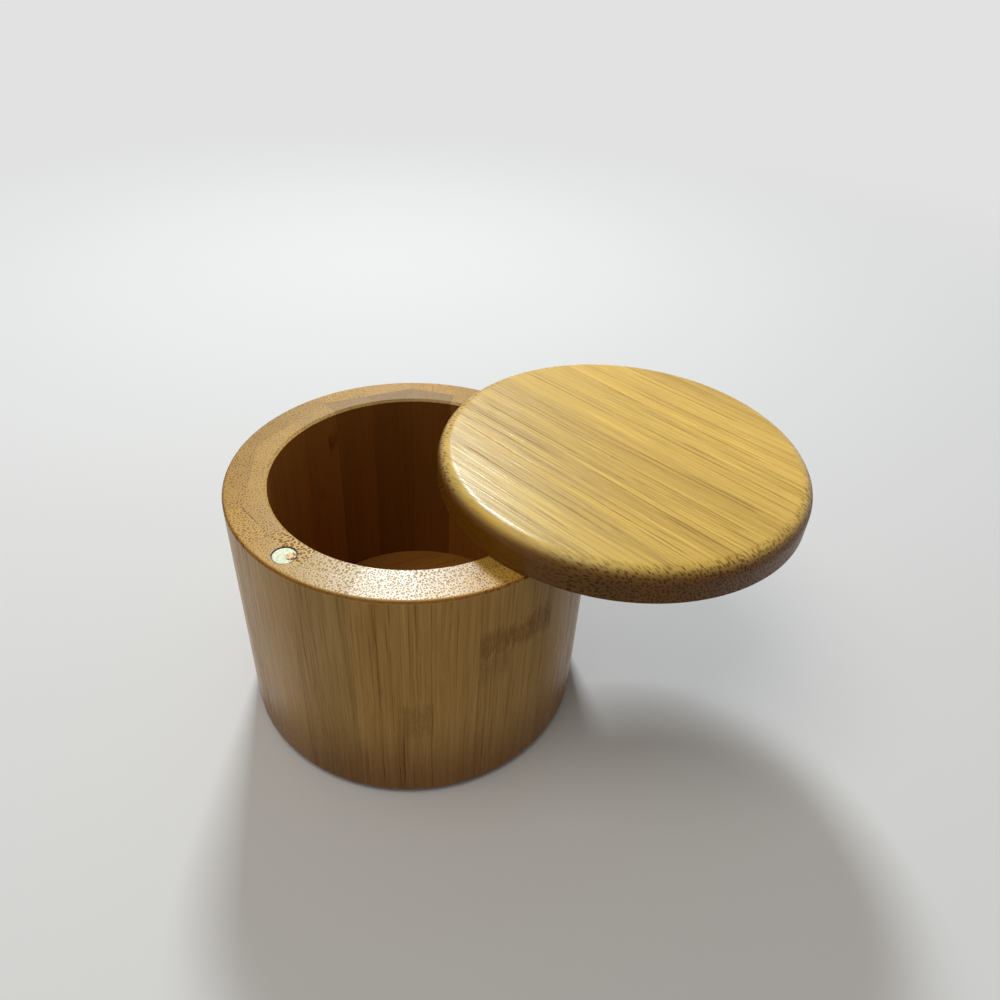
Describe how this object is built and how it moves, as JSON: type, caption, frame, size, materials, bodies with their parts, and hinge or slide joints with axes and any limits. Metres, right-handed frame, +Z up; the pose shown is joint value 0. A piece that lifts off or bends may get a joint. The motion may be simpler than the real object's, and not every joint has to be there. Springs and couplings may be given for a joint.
{
  "type": "salt box",
  "caption": "Round bamboo salt box whose flat lid swivels on an upright pin and closes onto a magnet catch in the rim.",
  "frame": {"origin": "centre of the base, on the axis of the box", "axes": "+Z up along the axis of the box, +X towards the side over which the opened lid stands out, +Y away from the side that the picture shows"},
  "size_m": [0.139, 0.0924, 0.0753],
  "materials": {
    "bamboo_outer_ply": "oiled bamboo, satin",
    "bamboo_inner_ply": "oiled bamboo, satin",
    "bamboo_lid": "oiled bamboo, satin",
    "bamboo_floor": "oiled bamboo, satin",
    "steel_pin": "ground steel",
    "magnet_nickel": "nickel plate"
  },
  "bodies": {
    "box": {"stave_1_outer_left": "bamboo_outer_ply", "stave_1_outer_right": "bamboo_outer_ply", "stave_2_outer_left": "bamboo_outer_ply", "stave_2_outer_right": "bamboo_outer_ply", "stave_3_outer_left": "bamboo_outer_ply", "stave_3_outer_right": "bamboo_outer_ply", "stave_4_outer_left": "bamboo_outer_ply", "stave_4_outer_right": "bamboo_outer_ply", "stave_5_outer_left": "bamboo_outer_ply", "stave_5_outer_right": "bamboo_outer_ply", "stave_6_outer_left": "bamboo_outer_ply", "stave_6_outer_right": "bamboo_outer_ply", "stave_7_outer_left": "bamboo_outer_ply", "stave_7_outer_right": "bamboo_outer_ply", "stave_8_outer_left": "bamboo_outer_ply", "stave_8_outer_right": "bamboo_outer_ply", "stave_9_outer_left": "bamboo_outer_ply", "stave_9_outer_right": "bamboo_outer_ply", "stave_10_outer_left": "bamboo_outer_ply", "stave_10_outer_right": "bamboo_outer_ply", "stave_1_inner_left": "bamboo_inner_ply", "stave_1_inner_right": "bamboo_inner_ply", "stave_2_inner_left": "bamboo_inner_ply", "stave_2_inner_right": "bamboo_inner_ply", "stave_3_inner_left": "bamboo_inner_ply", "stave_3_inner_right": "bamboo_inner_ply", "stave_4_inner_left": "bamboo_inner_ply", "stave_4_inner_right": "bamboo_inner_ply", "stave_5_inner_left": "bamboo_inner_ply", "stave_5_inner_right": "bamboo_inner_ply", "stave_6_inner_left": "bamboo_inner_ply", "stave_6_inner_right": "bamboo_inner_ply", "stave_7_inner_left": "bamboo_inner_ply", "stave_7_inner_right": "bamboo_inner_ply", "stave_8_inner_left": "bamboo_inner_ply", "stave_8_inner_right": "bamboo_inner_ply", "stave_9_inner_left": "bamboo_inner_ply", "stave_9_inner_right": "bamboo_inner_ply", "stave_10_inner_left": "bamboo_inner_ply", "stave_10_inner_right": "bamboo_inner_ply", "floor_disc": "bamboo_floor", "pivot_pin": "steel_pin", "rim_magnet": "magnet_nickel"},
    "lid": {"lid_strip_1": "bamboo_lid", "lid_strip_2": "bamboo_lid", "lid_strip_3": "bamboo_lid", "lid_strip_4": "bamboo_lid", "lid_strip_5": "bamboo_lid", "lid_strip_6": "bamboo_lid", "lid_strip_7": "bamboo_lid", "lid_strip_8": "bamboo_lid", "lid_strip_9": "bamboo_lid", "lid_strip_10": "bamboo_lid", "lid_strip_11": "bamboo_lid", "lid_strip_12": "bamboo_lid", "lid_strip_13": "bamboo_lid", "lid_magnet": "magnet_nickel"}
  },
  "joints": [
    {"name": "lid_swivel", "type": "hinge", "parent": "box", "child": "lid", "pos_m": [0.02725, 0.02922, 0.0668], "axis": [0, 0, 1], "continuous": true}
  ]
}
